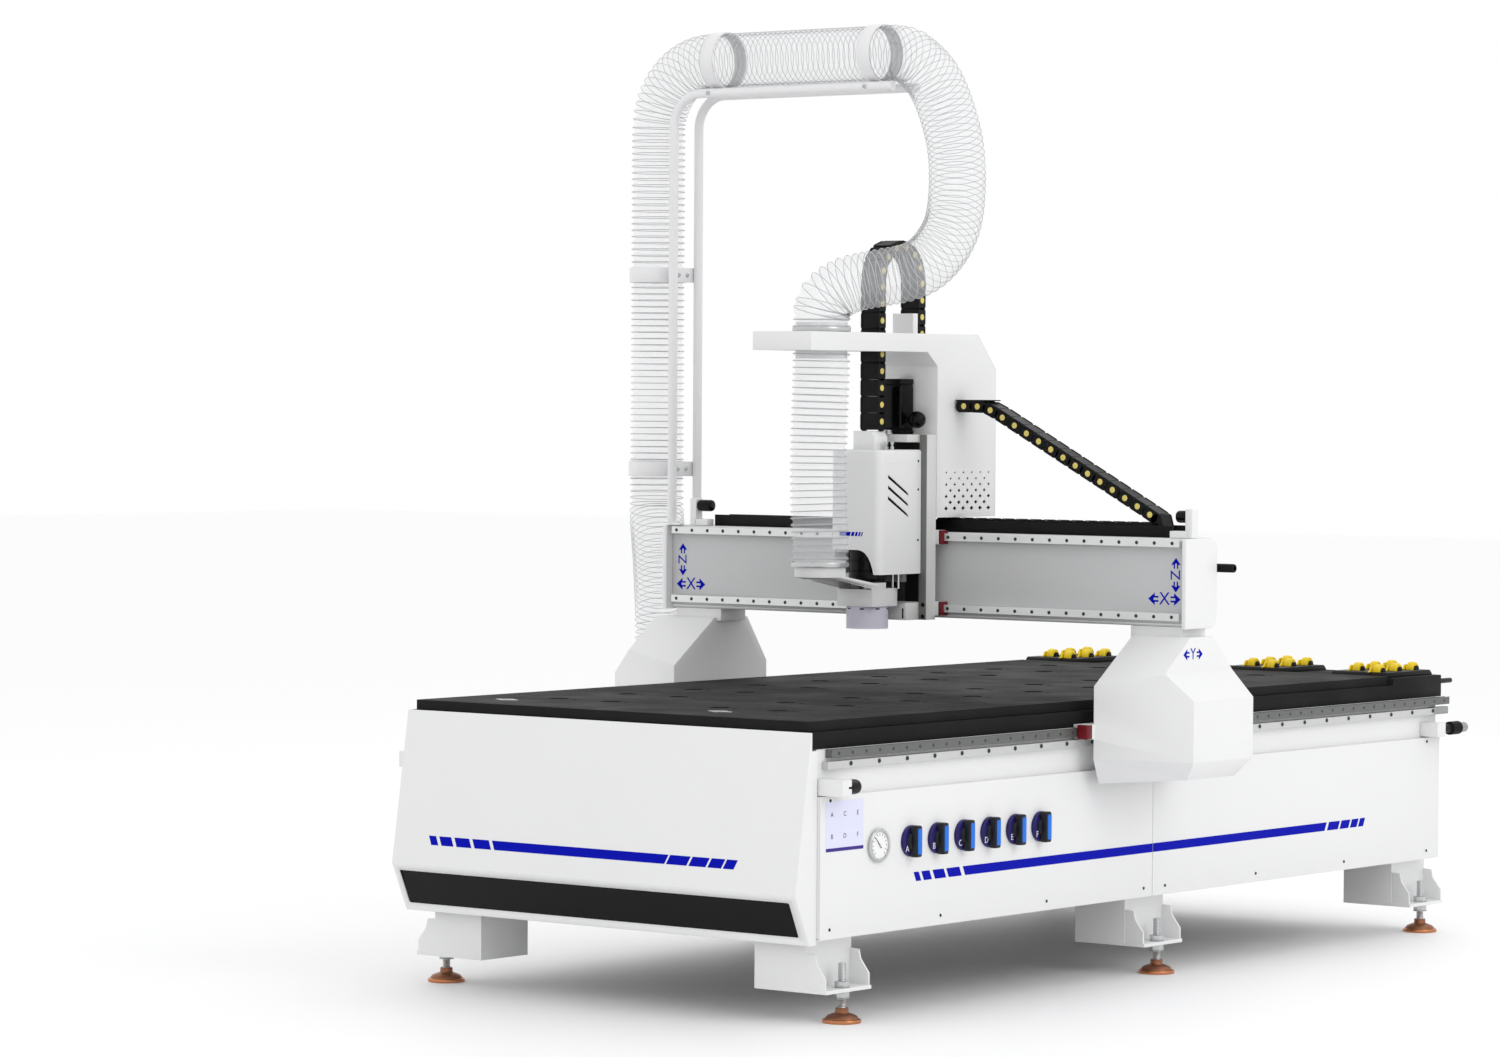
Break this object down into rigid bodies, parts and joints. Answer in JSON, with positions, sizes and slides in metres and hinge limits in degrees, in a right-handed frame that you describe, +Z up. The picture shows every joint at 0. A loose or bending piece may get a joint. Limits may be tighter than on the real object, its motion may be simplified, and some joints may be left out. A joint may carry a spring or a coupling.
{
  "type": "cnc router",
  "caption": "Gantry CNC router with a flat vacuum table, side valves and feed rollers, and a covered spindle carriage with dust shoe, chains and a clear hose on a mast.",
  "frame": {"origin": "on the floor, under the middle of the machine's box with the gantry, carriage and head as posed at rest", "axes": "+Z up, +Y from the front edge of the table to its feed rollers (the long way), +X across, towards the side with the valves"},
  "size_m": [2.282, 3.386, 2.7573],
  "materials": {
    "white_paint": "satin",
    "grey_paint": "fine texture",
    "black_machine": "satin",
    "steel": "ground",
    "zinc": "polished",
    "bronze": "metallic lacquer",
    "black_board": "fine brushed lines",
    "black_plastic": "satin",
    "yellow_wheel": "semi gloss",
    "handle_grey": "satin",
    "gauge": "polished rim",
    "clear_hose": "clear",
    "frosted_skirt": "frosted"
  },
  "bodies": {
    "bed": {"bed_frame": "white_paint", "front_cover": "white_paint", "levelling_foot_left_1": "bronze", "levelling_foot_left_2": "bronze", "levelling_foot_left_3": "bronze", "levelling_foot_right_1": "bronze", "levelling_foot_right_2": "bronze", "levelling_foot_right_3": "bronze", "side_panel_left_front": "white_paint", "side_panel_left_rear": "white_paint", "side_panel_right_front": "white_paint", "side_panel_right_rear": "white_paint", "y_rail_left": "steel", "y_rail_right": "steel", "y_rack_left": "steel", "y_rack_right": "steel", "table_base": "black_board", "vacuum_table": "black_board", "y_stop_left": "white_paint", "y_stop_right": "white_paint", "feed_roller_1": "yellow_wheel", "feed_roller_2": "yellow_wheel", "feed_roller_3": "yellow_wheel", "feed_roller_4": "yellow_wheel", "vacuum_gauge": "gauge", "air_coupling": "black_plastic", "table_gland": "black_plastic"},
    "valve_a": {"valve_handle_a": "handle_grey"},
    "valve_b": {"valve_handle_b": "handle_grey"},
    "valve_c": {"valve_handle_c": "handle_grey"},
    "valve_d": {"valve_handle_d": "handle_grey"},
    "valve_e": {"valve_handle_e": "handle_grey"},
    "valve_f": {"valve_handle_f": "handle_grey"},
    "gantry": {"gantry_beam": "grey_paint", "gantry_leg_left": "white_paint", "gantry_leg_right": "white_paint", "beam_end_cover_left": "white_paint", "beam_end_cover_right": "white_paint", "x_rail_upper": "steel", "x_rail_lower": "steel", "x_rack": "steel", "chain_tray": "black_plastic", "x_stop_left": "white_paint", "x_stop_right": "white_paint", "beam_rear_rod": "black_plastic", "hose_mast": "white_paint", "hose_riser": "clear_hose", "x_chain": "black_plastic"},
    "carriage": {"column": "grey_paint", "carriage_cover": "white_paint", "z_motor": "black_machine", "z_chain": "black_plastic", "hose_loop": "clear_hose"},
    "z_head": {"z_slide": "grey_paint", "spindle": "black_machine", "spindle_cover": "white_paint", "dust_shoe": "white_paint", "brush_skirt": "frosted_skirt", "hose_drop": "clear_hose"},
    "tool": {"collet_tool": "zinc"}
  },
  "joints": [
    {"name": "y_travel", "type": "slide", "parent": "bed", "child": "gantry", "axis": [0, 1, 0], "range_m": [-1.1, 1.38]},
    {"name": "x_travel", "type": "slide", "parent": "gantry", "child": "carriage", "axis": [1, 0, 0], "range_m": [-0.62, 0.7], "deforming": ["x_chain", "hose_loop"]},
    {"name": "z_travel", "type": "slide", "parent": "carriage", "child": "z_head", "axis": [0, 0, 1], "range_m": [-0.165, 0.02], "deforming": ["z_chain", "hose_drop"]},
    {"name": "spindle_spin", "type": "hinge", "parent": "z_head", "child": "tool", "pos_m": [0.069, -0.414, 1.1042], "axis": [0, 0, 1], "continuous": true},
    {"name": "valve_a_turn", "type": "hinge", "parent": "bed", "child": "valve_a", "pos_m": [0.8133, -1.204, 0.465], "axis": [1, 0, 0], "range_deg": [0, 90]},
    {"name": "valve_b_turn", "type": "hinge", "parent": "bed", "child": "valve_b", "pos_m": [0.8133, -1.0828, 0.465], "axis": [1, 0, 0], "range_deg": [0, 90]},
    {"name": "valve_c_turn", "type": "hinge", "parent": "bed", "child": "valve_c", "pos_m": [0.8133, -0.9616, 0.465], "axis": [1, 0, 0], "range_deg": [0, 90]},
    {"name": "valve_d_turn", "type": "hinge", "parent": "bed", "child": "valve_d", "pos_m": [0.8133, -0.8404, 0.465], "axis": [1, 0, 0], "range_deg": [0, 90]},
    {"name": "valve_e_turn", "type": "hinge", "parent": "bed", "child": "valve_e", "pos_m": [0.8133, -0.7192, 0.465], "axis": [1, 0, 0], "range_deg": [0, 90]},
    {"name": "valve_f_turn", "type": "hinge", "parent": "bed", "child": "valve_f", "pos_m": [0.8133, -0.598, 0.465], "axis": [1, 0, 0], "range_deg": [0, 90]}
  ]
}
